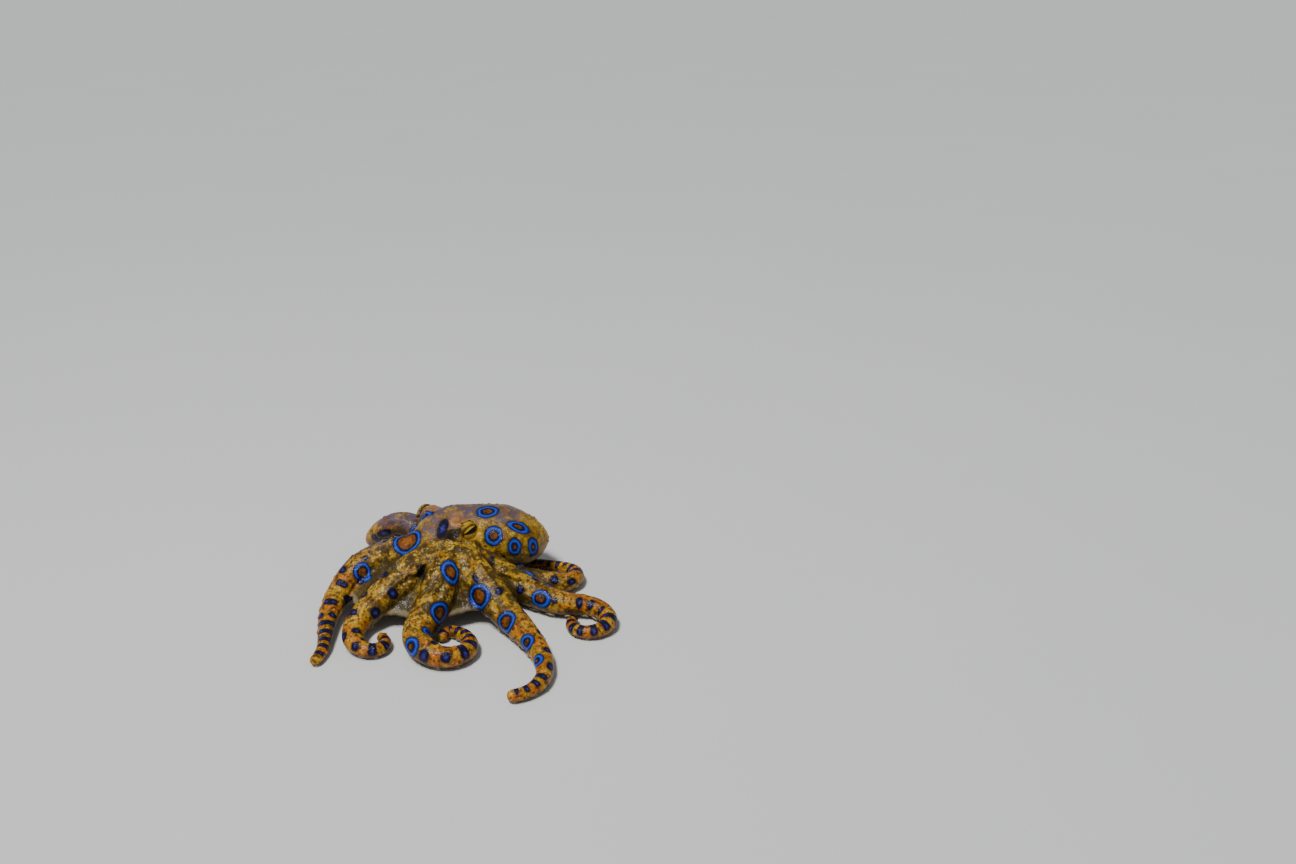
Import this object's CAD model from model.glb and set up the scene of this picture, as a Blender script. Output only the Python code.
"""A blue ringed octopus at rest: one ringed and webbed skin over its body, its eyes and its suckers."""

import logging
import math
from collections.abc import Iterable, Iterator
from dataclasses import dataclass, field
from enum import Enum

import bpy
import numpy as np
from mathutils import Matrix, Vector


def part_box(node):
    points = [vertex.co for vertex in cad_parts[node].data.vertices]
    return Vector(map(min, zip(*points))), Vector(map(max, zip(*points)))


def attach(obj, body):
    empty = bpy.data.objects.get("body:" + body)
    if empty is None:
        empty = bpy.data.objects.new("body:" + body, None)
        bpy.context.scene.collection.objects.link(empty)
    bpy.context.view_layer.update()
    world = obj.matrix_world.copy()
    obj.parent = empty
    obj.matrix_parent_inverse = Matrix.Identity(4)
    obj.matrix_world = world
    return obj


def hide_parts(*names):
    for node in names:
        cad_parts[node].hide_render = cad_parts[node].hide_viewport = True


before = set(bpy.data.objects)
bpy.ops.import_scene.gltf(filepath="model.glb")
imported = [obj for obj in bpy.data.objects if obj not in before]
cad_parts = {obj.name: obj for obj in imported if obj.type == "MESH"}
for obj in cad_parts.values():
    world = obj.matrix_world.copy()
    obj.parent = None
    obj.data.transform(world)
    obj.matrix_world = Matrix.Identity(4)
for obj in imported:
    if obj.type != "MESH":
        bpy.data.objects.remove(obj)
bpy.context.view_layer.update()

log = logging.getLogger("octopus")

Pair = tuple[float, float]
Triple = tuple[float, float, float]
Socket = bpy.types.NodeSocket

MM = 0.001
UP = np.array([0.0, 0.0, 1.0])
# Drawing coordinates are millimetres from the point of the floor below the near rim of the crown
MOUTH = np.array([-1.0, 5.0])
EYE_OUT = 1.0
EYE_BALL = 2.2
EYE_LEAN = 13.0
# How far outside a small stamp its distances are kept, in mm
NARROW = 1.4
# A distance in mm that is past every colour and shape
FAR_AWAY = 99.0
# Least values of divisors, so that nothing is divided by zero
TINY = 1e-9
SMALL = 1e-6


def smooth(value: np.ndarray | float) -> np.ndarray:
    """Smoothstep of a value, from 0 at 0 to 1 at 1."""
    share = np.clip(value, 0.0, 1.0)
    return share * share * (3.0 - 2.0 * share)


def unit(vectors: np.ndarray) -> np.ndarray:
    """Vectors scaled to length one, along the last axis."""
    return vectors / np.maximum(np.linalg.norm(vectors, axis=-1, keepdims=True), TINY)


def turned(vectors: np.ndarray, axes: np.ndarray, angles: np.ndarray) -> np.ndarray:
    """Vectors turned about unit axes.

    Args:
        vectors: One vector per row, square to its axis.
        axes: One unit axis per row.
        angles: One angle per row, in radians.

    Returns:
        The turned vectors.
    """
    cosine = np.cos(angles)[:, None]
    sine = np.sin(angles)[:, None]
    return vectors * cosine + np.cross(axes, vectors) * sine


def fade(value: np.ndarray, start: float, run: float) -> np.ndarray:
    """Smooth rise from 0 at a start to 1 a run further on, or a fall where the run is negative."""
    return smooth((value - start) / run)


def dot(first: np.ndarray, second: np.ndarray) -> np.ndarray:
    """Dot products along the last axis."""
    return np.einsum("...i,...i", first, second)


def distance_to(points: np.ndarray, places: Iterable[np.ndarray]) -> np.ndarray:
    """Distance of each point from the nearest of some places.

    Args:
        points: Points, one per row.
        places: Places to measure from.

    Returns:
        The distances.
    """
    best = np.full(len(points), FAR_AWAY)
    for place in places:
        best = np.minimum(best, np.linalg.norm(points - place, axis=1))
    return best


def corner_shares(base: np.ndarray, part: np.ndarray) -> Iterator[tuple[np.ndarray, np.ndarray]]:
    """The eight corners of each point's cell, and how much each counts at the point.

    Args:
        base: Lowest corner of each point's cell.
        part: How far across its cell each point lies, from 0 to 1 along each axis.

    Returns:
        For each of the eight, the corners and their shares.
    """
    for corner in np.ndindex(2, 2, 2):
        share = np.prod(np.where(np.array(corner) == 1, part, 1.0 - part), axis=1)
        yield base + np.array(corner), share


@dataclass
class Arm:
    """One arm: its path from above, its taper, and how it comes down to the floor.

    The path is a list of stretches of (length in mm, turn in degrees) from a heading at the mouth.
    """

    name: str
    heading: float
    path: tuple[Pair, ...]
    root: float
    tip: float
    rise: float
    lands: float
    roll: float
    hump: Triple | None = None
    step: float = 0.25
    floor_lift: float = 1.03
    falls_from: float = 3.0
    rolls_over: float = 10.0
    taper: Pair = (0.55, 0.45)
    along: np.ndarray = field(init=False)
    centre: np.ndarray = field(init=False)
    radius: np.ndarray = field(init=False)
    tangent: np.ndarray = field(init=False)
    side: np.ndarray = field(init=False)
    back: np.ndarray = field(init=False)

    def __post_init__(self) -> None:
        """Works out the centreline, its frame and its radii."""
        self.along = np.arange(0.0, self.length + self.step / 2, self.step)
        ends = np.cumsum([length for length, _ in self.path])
        rates = np.array([math.radians(turn) / length for length, turn in self.path])
        middles = self.along[:-1] + self.step / 2
        turns = rates[np.minimum(np.searchsorted(ends, middles), len(rates) - 1)] * self.step
        headings = math.radians(self.heading) + np.concatenate([[0.0], np.cumsum(turns)])
        halfway = headings[:-1] + turns / 2
        moves = np.stack([np.cos(halfway), np.sin(halfway)], axis=1) * self.step
        plan = MOUTH + np.concatenate([np.zeros((1, 2)), np.cumsum(moves, axis=0)])
        self.radius = self.radius_at(self.along)
        ground = self.radius * self.floor_lift
        drop = 1.0 - fade(self.along, self.falls_from, self.lands - self.falls_from)
        height = ground + (self.rise - ground) * drop
        if self.hump:
            lift, place, width = self.hump
            height = height + lift * np.exp(-(((self.along - place) / width) ** 2))
        self.centre = np.column_stack([plan, height])
        self.tangent = unit(np.gradient(self.centre, axis=0))
        side = unit(np.cross(UP, self.tangent))
        back = unit(np.cross(self.tangent, side))
        rolled = math.radians(self.roll) * fade(self.along, self.lands, self.rolls_over)
        self.side = turned(side, self.tangent, rolled)
        self.back = turned(back, self.tangent, rolled)

    @property
    def length(self) -> float:
        """Length along the arm from the mouth to its tip, in mm."""
        return sum(length for length, _ in self.path)

    def radius_at(self, along: np.ndarray | float) -> np.ndarray:
        """Radius of the arm at a distance from the mouth, in mm.

        Args:
            along: Distance from the mouth in mm.

        Returns:
            The radius in mm.
        """
        share = np.asarray(along) / self.length
        rounded, straight = self.taper
        return self.tip + (self.root - self.tip) * (1.0 - rounded * smooth(share) - straight * share)

    def index_at(self, along: np.ndarray | float) -> np.ndarray:
        """Row of the centreline nearest to a distance from the mouth."""
        rows = np.rint(np.asarray(along) / self.step).astype(int)
        return np.clip(rows, 0, len(self.along) - 1)

    def about(self, points: np.ndarray, rows: np.ndarray) -> tuple[np.ndarray, np.ndarray, np.ndarray]:
        """How far points lie ahead of rows of the centreline, to their left and over them, in mm."""
        offset = points - self.centre[rows]
        return dot(offset, self.tangent[rows]), dot(offset, self.side[rows]), dot(offset, self.back[rows])


ARMS = (
    Arm("arm_left_1", 261, ((14.5, -25), (2.6, 4), (11, 88), (8, 114), (7, 62), (4, 160)),
        root=4.0, tip=1.05, rise=8.5, lands=19, roll=12),
    Arm("arm_left_2", 299, ((14, 5), (9.5, -10), (7, -9), (5.5, -20), (6.5, -56), (4, -36)),
        root=3.9, tip=1.15, rise=8.5, lands=20, roll=-8),
    Arm("arm_left_3", 328, ((12, 10), (7.5, -22), (6.5, 39), (6.3, -55), (12.8, -204), (3.3, -60)),
        root=3.7, tip=1.0, rise=7.4, lands=18, roll=-14),
    Arm("arm_left_4", 353, ((14.5, 0), (6.3, -6), (3, 62), (5, 76), (4, 23), (8, 4)),
        root=3.1, tip=0.85, rise=5.2, lands=13, roll=12),
    Arm("arm_right_4", 84, ((13, -4), (7, -16), (7, -70), (6, -75), (6, -45), (6, -30)),
        root=3.1, tip=0.85, rise=5.0, lands=14, roll=-12),
    Arm("arm_right_3", 114, ((12, 4), (5.5, 44), (3, 10), (6, -80), (6, -90), (6, -60), (6, -60)),
        root=3.6, tip=0.95, rise=8.0, lands=29, roll=-10, hump=(4.7, 20.0, 6.0)),
    Arm("arm_right_2", 162, ((12, 2), (4, 24), (6, 42), (6, 24), (6, 14), (6, 0), (6, -30)),
        root=4.4, tip=1.0, rise=9.0, lands=26, roll=-10, hump=(1.2, 19.0, 7.0)),
    Arm("arm_right_1", 206, ((14, 6), (6, 10), (6, 50), (5, 56), (4, 105), (4, 62)),
        root=4.4, tip=1.0, rise=8.6, lands=24, roll=12),
)
# How far the web between each arm and the next reaches along the two, in mm from the mouth
WEB_REACH = {
    "arm_left_1": (18.5, 17.0), "arm_left_2": (18.0, 16.0), "arm_left_3": (15.0, 12.0),
    "arm_left_4": (12.0, 12.0), "arm_right_4": (12.0, 14.0), "arm_right_3": (15.0, 18.0),
    "arm_right_2": (25.5, 24.0), "arm_right_1": (21.0, 18.5),
}
# Head and mantle: x, y, z, half width and half height of each section, in mm
BODY = np.array([
    (-6.6, 5.2, 10.0, 2.6, 2.2), (-4.4, 8.2, 10.8, 4.6, 3.9), (-1.6, 11.0, 11.1, 5.3, 4.6),
    (2.2, 12.0, 10.8, 5.2, 4.8), (5.2, 11.6, 10.0, 6.3, 5.5), (9.2, 11.2, 8.9, 7.4, 5.9),
    (13.0, 11.7, 8.0, 7.0, 5.0), (15.8, 12.5, 7.6, 4.7, 3.5), (17.0, 13.1, 7.4, 1.6, 1.3),
])
# Pale folds of skin from the near eye down to the arms, as lines over the skin
FOLDS = (
    ((1.9, 0.1, 12.1), (2.6, -1.8, 11.3), (3.0, -3.8, 10.4)),
    ((3.4, 0.0, 11.5), (3.9, -2.7, 10.8), (4.8, -4.9, 9.7), (5.9, -6.7, 8.6), (7.2, -8.1, 7.5)),
    ((7.1, -2.3, 8.2), (9.3, -2.4, 7.4), (11.9, -2.7, 6.6), (14.6, -3.6, 5.9)),
    ((-6.6, -1.2, 10.9), (-8.6, -2.2, 9.6), (-11.0, -3.0, 8.7), (-14.0, -3.9, 7.6)),
)
# Grooves sunk into the skin: a half width in mm, and a line over the skin
GROOVES = (
    (1.0, ((4.7, 0.5, 11.0), (5.9, -0.4, 10.2), (6.9, -1.2, 9.4), (8.1, -1.9, 8.6))),
    (0.8, ((-1.2, 4.6, 13.9), (-0.6, 3.8, 13.5), (0.8, 3.0, 13.0))),
    (1.0, ((-6.9, -1.3, 10.3), (-7.9, -3.2, 9.5), (-9.2, -5.1, 8.5))),
    (0.8, ((1.0, -2.5, 11.2), (1.5, -4.5, 10.4), (2.3, -6.4, 9.2))),
    (0.8, ((-10.8, 1.6, 10.6), (-12.4, 0.4, 9.8), (-14.2, -1.2, 8.8))),
)
# Funnel: its line from root to lip, and its radius at each
FUNNEL_LINE = (np.array([3.2, 7.2, 6.6]), np.array([7.6, 4.6, 6.4]))
FUNNEL_RADII = (1.3, 0.95)


@dataclass(frozen=True)
class EyeSite:
    """Where an eye sits, which way its mound faces, which way it looks, and its brow, in drawing mm."""

    name: str
    mound: Triple
    faces: Triple
    gaze: Triple
    brow: Triple

    @property
    def way(self) -> np.ndarray:
        """Unit vector that the mound faces."""
        return unit(np.array(self.faces))

    @property
    def ball(self) -> np.ndarray:
        """Centre of the eyeball."""
        return np.array(self.mound) + self.way * EYE_OUT

    def axes(self, lean: float) -> np.ndarray:
        """Unit rows across, over and along the gaze, leaning by an angle in degrees.

        Args:
            lean: Turn about the gaze in degrees.

        Returns:
            Three unit rows.
        """
        out = unit(np.array(self.gaze))
        across = unit(np.cross(UP, out))
        over = np.cross(out, across)
        cosine, sine = math.cos(math.radians(lean)), math.sin(math.radians(lean))
        return np.array([across * cosine + over * sine, over * cosine - across * sine, out])


EYES = (
    EyeSite("eye_left", (1.3, 8.3, 12.1), (0.62, -0.72, 0.3), (0.38, -0.84, 0.39), (0.2, 8.1, 14.4)),
    EyeSite("eye_right", (-4.6, 14.2, 12.3), (-0.66, 0.68, 0.3), (-0.55, 0.74, 0.39), (-5.0, 12.8, 14.3)),
)


def drawing_shift() -> np.ndarray:
    """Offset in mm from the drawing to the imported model, read from the left eye's box.

    Returns:
        The offset, level with the floor.
    """
    low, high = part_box("eye_left")
    middle = (np.array(low) + np.array(high)) / 2 / MM
    shift = middle - EYES[0].ball
    shift[2] = 0.0
    return shift


SHIFT = drawing_shift()


def catmull_rom(points: np.ndarray, count: int) -> np.ndarray:
    """Rows evenly spaced in share along a centripetal Catmull-Rom curve through the points.

    Args:
        points: One point per row; columns past the third ride along.
        count: Number of rows wanted.

    Returns:
        The rows on the curve.
    """
    padded = np.vstack([2 * points[0] - points[1], points, 2 * points[-1] - points[-2]])
    rows = []
    for share in np.linspace(0.0, len(points) - 1.0, count):
        start = min(int(share), len(points) - 2)
        t = share - start
        p0, p1, p2, p3 = padded[start:start + 4]
        rows.append(0.5 * (2 * p1 + (p2 - p0) * t + (2 * p0 - 5 * p1 + 4 * p2 - p3) * t ** 2
                           + (3 * p1 - p0 - 3 * p2 + p3) * t ** 3))
    return np.array(rows)


class Noise:
    """Smooth value noise and scattered dots from hashed lattice points, the same on every run."""

    AXIS_PRIMES = (73856093, 19349663, 83492791)
    SEED_PRIME = 2654435761
    CHANNEL_PRIME = 97531
    MIXER = np.uint64(1274126177)
    MASK = np.uint64(0xFFFFFF)
    # Cells added to every place, so that no cell number is negative
    OFFSET = 512.0
    # Middles of dots keep this far from the sides of their cell, and spread over the rest
    INSET, SPREAD = 0.25, 0.5
    # Least radius of a dot as a share of its cell; the most is twice that
    DOT = 0.22

    def __init__(self, seed: int) -> None:
        """Keeps the seed."""
        self.seed = seed

    def lattice(self, cells: np.ndarray, channel: int = 0) -> np.ndarray:
        """Random numbers from 0 to 1, one for each integer cell (x, y, z).

        Args:
            cells: Cell numbers, x, y and z in the last axis.
            channel: Which of the cell's numbers.

        Returns:
            The numbers.
        """
        mixed = np.uint64(self.seed * self.SEED_PRIME + channel * self.CHANNEL_PRIME)
        for axis, prime in enumerate(self.AXIS_PRIMES):
            mixed = mixed ^ (cells[..., axis].astype(np.uint64) * np.uint64(prime))
        mixed = (mixed ^ (mixed >> np.uint64(13))) * self.MIXER
        mixed ^= mixed >> np.uint64(16)
        return (mixed & self.MASK).astype(np.float64) / float(self.MASK)

    def value(self, points: np.ndarray, size: float) -> np.ndarray:
        """Smooth noise from -1 to 1 with features of a size in mm.

        Args:
            points: Where to read the noise.
            size: Size of its features in mm.

        Returns:
            The noise.
        """
        scaled = points / size + self.OFFSET
        base = np.floor(scaled).astype(np.int64)
        total = np.zeros(len(points))
        for cells, share in corner_shares(base, smooth(scaled - base)):
            total += share * self.lattice(cells)
        return total * 2.0 - 1.0

    def dots(self, points: np.ndarray, size: float, share: float) -> np.ndarray:
        """Rounded dots, one in some of the cells of a size in mm.

        Args:
            points: Where to read the dots.
            size: Cell size in mm.
            share: Share of the cells that hold a dot.

        Returns:
            Height from 0 off the dots to 1 on their crowns.
        """
        scaled = points / size + self.OFFSET
        base = np.floor(scaled).astype(np.int64)
        height = np.zeros(len(points))
        for corner in np.ndindex(3, 3, 3):
            cell = base + np.array(corner) - 1
            place = np.stack([self.lattice(cell, channel) for channel in (1, 2, 3)], axis=1)
            apart = np.linalg.norm(cell + self.INSET + self.SPREAD * place - scaled, axis=1)
            radius = self.DOT + self.DOT * self.lattice(cell, 4)
            here = self.lattice(cell, 5) < share
            height = np.maximum(height, np.where(here, smooth(1.0 - apart / radius), 0.0))
        return height


class Field:
    """Signed distance to a form on a regular grid, in mm, built up from overlapping stamps."""

    LOW = np.array([-29.4, -36.6, -0.7])
    HIGH = np.array([31.4, 31.6, 17.3])
    STEP = 0.29
    FAR = 2.4
    DEEP = -3.0
    # How far past a ball that is cut out the form is changed
    CUT = 1.5
    LEAST_SLOPE = 1e-4
    LEAST_WIDTH = 1e-3

    def __init__(self) -> None:
        """Makes a field that is empty everywhere."""
        self.lines = self.axes()
        self.shape = tuple(len(line) for line in self.lines)
        self.values = np.full(self.shape, self.FAR, dtype=np.float32)

    @classmethod
    def axes(cls) -> list[np.ndarray]:
        """Grid coordinates along x, y and z."""
        shape = np.ceil((cls.HIGH - cls.LOW) / cls.STEP).astype(int) + 1
        return [cls.LOW[k] + cls.STEP * np.arange(shape[k]) for k in range(3)]

    @classmethod
    def grid(cls) -> list[np.ndarray]:
        """The coordinates x, y and z of every node, as arrays that fill out to the whole grid."""
        return np.meshgrid(*cls.axes(), indexing="ij", sparse=True)

    def window(self, centre: np.ndarray, reach: float) -> tuple[tuple[slice, ...], np.ndarray]:
        """Grid slices around a point, and the offsets of their nodes from it.

        Args:
            centre: Point in mm.
            reach: Half size of the window in mm.

        Returns:
            The slices, and offsets with x, y, z in the last axis.
        """
        first = np.maximum(np.floor((centre - reach - self.LOW) / self.STEP).astype(int), 0)
        last = np.ceil((centre + reach - self.LOW) / self.STEP).astype(int) + 1
        last = np.minimum(last, self.shape)
        spans = tuple(slice(a, b) for a, b in zip(first, last))
        rows = [line[span] - middle for line, span, middle in zip(self.lines, spans, centre)]
        return spans, np.stack(np.meshgrid(*rows, indexing="ij"), axis=-1).astype(np.float32)

    def stamp_ball(self, centre: np.ndarray, radius: float, flat: np.ndarray | None = None,
                   flatten: float = 1.0, margin: float = 2.0) -> None:
        """Joins a ball to the form, pressed flatter on one side where asked.

        Args:
            centre: Centre in mm.
            radius: Radius in mm.
            flat: Unit vector away from the flattened side.
            flatten: Reach of that side, as a share of the radius.
            margin: How far outside the ball distances are kept.
        """
        spans, offset = self.window(centre, radius + margin)
        if flat is not None:
            flat = flat.astype(np.float32)
            below = np.minimum(offset @ flat, 0.0) * (1.0 / flatten - 1.0)
            offset = offset + below[..., None] * flat
        distance = np.sqrt(dot(offset, offset)) - radius
        self.values[spans] = np.minimum(self.values[spans], distance)

    def stamp_slice(self, centre: np.ndarray, axes: np.ndarray, sizes: Triple,
                    margin: float = 2.0) -> None:
        """Joins an ellipsoid to the form.

        Args:
            centre: Centre in mm.
            axes: Three unit rows: along, side and back.
            sizes: Half size along each.
            margin: How far outside the ellipsoid distances are kept.
        """
        spans, offset = self.window(centre, max(sizes) + margin)
        halves = np.array(sizes, dtype=np.float32)
        stretched = offset @ axes.T.astype(np.float32) / halves
        reach = np.sqrt(dot(stretched, stretched))
        slope = np.sqrt(dot(stretched / halves, stretched / halves))
        distance = reach * (reach - 1.0) / np.maximum(slope, self.LEAST_SLOPE)
        self.values[spans] = np.minimum(self.values[spans], np.clip(distance, self.DEEP, self.FAR))

    def blend(self, other: "Field | np.ndarray", width: np.ndarray | float) -> None:
        """Joins another form with a fillet of a width in mm, which may vary over the grid.

        Args:
            other: The form, or its distances on the grid.
            width: Width of the fillet in mm.
        """
        values = other.values if isinstance(other, Field) else other
        width = np.maximum(width, self.LEAST_WIDTH)
        share = np.clip(0.5 + 0.5 * (self.values - values) / width, 0.0, 1.0)
        mixed = self.values * (1.0 - share) + values * share - width * share * (1.0 - share)
        self.values = mixed.astype(np.float32)

    def sink(self, other: "Field", width: float) -> None:
        """Cuts another form out of this one, with edges rounded by a width in mm.

        Args:
            other: The form to cut out.
            width: Width of the rounding in mm.
        """
        share = np.clip(0.5 - 0.5 * (self.values + other.values) / width, 0.0, 1.0)
        mixed = self.values * (1.0 - share) - other.values * share + width * share * (1.0 - share)
        self.values = mixed.astype(np.float32)

    def carve(self, centre: np.ndarray, radius: float) -> None:
        """Cuts a ball out of the form.

        Args:
            centre: Centre in mm.
            radius: Radius in mm.
        """
        spans, offset = self.window(centre, radius + self.CUT)
        hole = radius - np.sqrt(dot(offset, offset))
        self.values[spans] = np.maximum(self.values[spans], hole)

    def read(self, points: np.ndarray) -> np.ndarray:
        """Distances at points, from the eight grid nodes around each.

        Args:
            points: Points in mm, inside the grid.

        Returns:
            The distances in mm.
        """
        scaled = (points - self.LOW) / self.STEP
        base = np.clip(np.floor(scaled).astype(int), 0, np.array(self.shape) - 2)
        total = np.zeros(len(points))
        for nodes, share in corner_shares(base, scaled - base):
            total += share * self.values[tuple(nodes.T)]
        return total

    def surface(self) -> tuple[np.ndarray, np.ndarray]:
        """Zero surface as points in mm and four-sided faces, by surface nets.

        Returns:
            Points, and faces as rows of four point numbers, facing outwards.
        """
        values = self.values
        inside = values < 0.0
        count = np.zeros(tuple(n - 1 for n in self.shape), dtype=np.uint8)
        for x, y, z in np.ndindex(2, 2, 2):
            nx, ny, nz = self.shape
            count += inside[x:nx - 1 + x, y:ny - 1 + y, z:nz - 1 + z]
        cells = np.argwhere((count > 0) & (count < 8))
        number = np.full(count.shape, -1, dtype=np.int64)
        number[tuple(cells.T)] = np.arange(len(cells))
        total = np.zeros((len(cells), 3))
        hits = np.zeros(len(cells))
        for axis in range(3):
            others = [k for k in range(3) if k != axis]
            for a, b in np.ndindex(2, 2):
                start = np.zeros(3, dtype=int)
                start[others[0]], start[others[1]] = a, b
                stop = start.copy()
                stop[axis] = 1
                first = values[tuple((cells + start).T)].astype(float)
                second = values[tuple((cells + stop).T)].astype(float)
                crossed = (first < 0) != (second < 0)
                share = np.where(crossed, first / np.where(crossed, first - second, 1.0), 0.0)
                point = start + share[:, None] * (stop - start)
                total += np.where(crossed[:, None], point, 0.0)
                hits += crossed
        points = self.LOW + (cells + total / hits[:, None]) * self.STEP
        faces = []
        for axis in range(3):
            ahead = [0, 0, 0]
            ahead[axis] = 1
            shape = tuple(n - step for n, step in zip(self.shape, ahead))
            near = inside[:shape[0], :shape[1], :shape[2]]
            far = inside[ahead[0]:, ahead[1]:, ahead[2]:]
            edges = np.argwhere(near != far)
            b, c = (axis + 1) % 3, (axis + 2) % 3
            edges = edges[(edges[:, b] > 0) & (edges[:, c] > 0)]
            steps = np.zeros((4, 3), dtype=int)
            steps[1, b] = steps[2, b] = -1
            steps[2, c] = steps[3, c] = -1
            quads = np.stack([number[tuple((edges + step).T)] for step in steps], axis=1)
            outward = near[tuple(edges.T)]
            faces.append(np.where(outward[:, None], quads, quads[:, ::-1]))
        return points, np.concatenate(faces)


def add_object(name: str, data: bpy.types.ID) -> bpy.types.Object:
    """Makes an object of a mesh, light or camera and links it to the scene.

    Args:
        name: Name of the object.
        data: What it shows.

    Returns:
        The object, at the origin.
    """
    made = bpy.data.objects.new(name, data)
    bpy.context.scene.collection.objects.link(made)
    return made


def make_mesh(name: str, points: np.ndarray, faces: list | np.ndarray) -> bpy.types.Object:
    """Links a smooth-shaded mesh object made from drawing points.

    Args:
        name: Name of the piece.
        points: One point per row, in drawing mm.
        faces: Point numbers of each face, facing outwards.

    Returns:
        The new object, at the origin.
    """
    mesh = bpy.data.meshes.new(name)
    placed = (points + SHIFT) * MM
    mesh.from_pydata(placed.tolist(), [], [list(map(int, face)) for face in faces])
    mesh.validate()
    mesh.update()
    mesh.polygons.foreach_set("use_smooth", np.ones(len(mesh.polygons), dtype=bool))
    return add_object(name, mesh)


def set_attribute(made: bpy.types.Object, name: str, values: np.ndarray) -> None:
    """Stores a vector for each point of a mesh under a name."""
    attribute = made.data.attributes.new(name, "FLOAT_VECTOR", "POINT")
    attribute.data.foreach_set("vector", values.astype(np.float32).ravel())


class MarkKind(Enum):
    """Kinds of marking on the skin."""

    RING = "ring"
    SPOT = "spot"
    BAR = "bar"
    PAIR = "pair"
    SHADE = "shade"


@dataclass(frozen=True)
class ArmMark:
    """A marking on an arm.

    along is mm from the mouth, turn is degrees round the arm from the middle of its back, positive
    to the arm's left, and half is its half size along and across in mm.
    """

    arm: str
    along: float
    turn: float
    half: Pair
    kind: MarkKind = MarkKind.RING


@dataclass(frozen=True)
class BodyMark:
    """A marking on the head, mantle or web, at a place in drawing mm, with half sizes in mm."""

    place: Triple
    half: Pair
    lean: float = 0.0
    kind: MarkKind = MarkKind.RING


# Markings that show from the front, mouth to tip along each arm
ARM_MARKS = (
    ArmMark("arm_left_1", 14.7, 70, (1.8, 2.05)),
    ArmMark("arm_left_1", 22.4, 52, (1.25, 1.2)),
    ArmMark("arm_left_1", 24.3, -56, (1.3, 1.6)),
    ArmMark("arm_left_1", 16.5, -59, (1.9, 0.55), MarkKind.BAR),
    ArmMark("arm_left_2", 12.6, -71, (2.0, 2.4)),
    ArmMark("arm_left_2", 10.0, -39, (0.8, 0.6), MarkKind.SPOT),
    ArmMark("arm_left_2", 14.4, -6, (0.8, 0.8), MarkKind.SPOT),
    ArmMark("arm_left_2", 20.8, -60, (2.05, 2.05)),
    ArmMark("arm_left_2", 28.4, -59, (1.55, 1.45)),
    ArmMark("arm_left_2", 27.3, 41, (0.9, 0.9), MarkKind.SPOT),
    ArmMark("arm_left_2", 34.5, -57, (1.35, 1.2)),
    ArmMark("arm_left_2", 32.3, 25, (0.7, 0.8), MarkKind.SPOT),
    ArmMark("arm_left_2", 36.3, 36, (0.9, 0.9), MarkKind.SPOT),
    ArmMark("arm_left_2", 39.2, -10, (0.55, 1.5), MarkKind.BAR),
    ArmMark("arm_left_2", 41.1, -10, (0.5, 1.4), MarkKind.BAR),
    ArmMark("arm_left_2", 43.0, -10, (0.45, 1.3), MarkKind.BAR),
    ArmMark("arm_left_2", 44.7, -10, (0.4, 1.1), MarkKind.BAR),
    ArmMark("arm_left_3", 14.8, -61, (0.9, 0.95), MarkKind.SPOT),
    ArmMark("arm_left_3", 16.1, 21, (0.9, 0.8), MarkKind.SPOT),
    ArmMark("arm_left_3", 19.9, -61, (1.7, 1.65)),
    ArmMark("arm_left_3", 22.4, -56, (0.5, 0.6), MarkKind.SPOT),
    ArmMark("arm_left_4", 19.7, -35, (0.95, 0.95), MarkKind.SPOT),
    ArmMark("arm_left_4", 22.4, -47, (0.7, 0.7), MarkKind.SPOT),
    ArmMark("arm_right_1", 13.8, -39, (1.5, 0.75), MarkKind.BAR),
    ArmMark("arm_right_1", 17.9, -32, (0.75, 1.0), MarkKind.SPOT),
    ArmMark("arm_right_1", 19.3, 70, (1.1, 1.2), MarkKind.SPOT),
    ArmMark("arm_right_1", 14.6, 62, (0.9, 1.4), MarkKind.SPOT),
    ArmMark("arm_right_1", 21.9, -29, (0.8, 1.6), MarkKind.BAR),
    ArmMark("arm_right_2", 14.9, -25, (0.6, 0.8), MarkKind.SPOT),
    ArmMark("arm_right_2", 12.7, 2, (0.6, 0.6), MarkKind.SPOT),
    ArmMark("arm_right_2", 19.6, 65, (1.95, 1.75)),
    ArmMark("arm_right_2", 17.3, 33, (0.6, 0.6), MarkKind.SPOT),
    ArmMark("arm_right_2", 21.6, 79, (0.8, 0.7), MarkKind.SPOT),
    ArmMark("arm_right_2", 21.6, -12, (0.75, 1.0), MarkKind.SPOT),
    ArmMark("arm_right_2", 24.4, 19, (0.8, 1.2), MarkKind.BAR),
    ArmMark("arm_right_2", 26.6, 85, (0.9, 1.2), MarkKind.SPOT),
    ArmMark("arm_right_2", 29.6, 0, (0.8, 1.4), MarkKind.BAR),
    ArmMark("arm_right_3", 21.2, 94, (1.2, 0.95), MarkKind.SPOT),
    ArmMark("arm_right_3", 22.9, 104, (0.5, 1.0), MarkKind.BAR),
)
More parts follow.
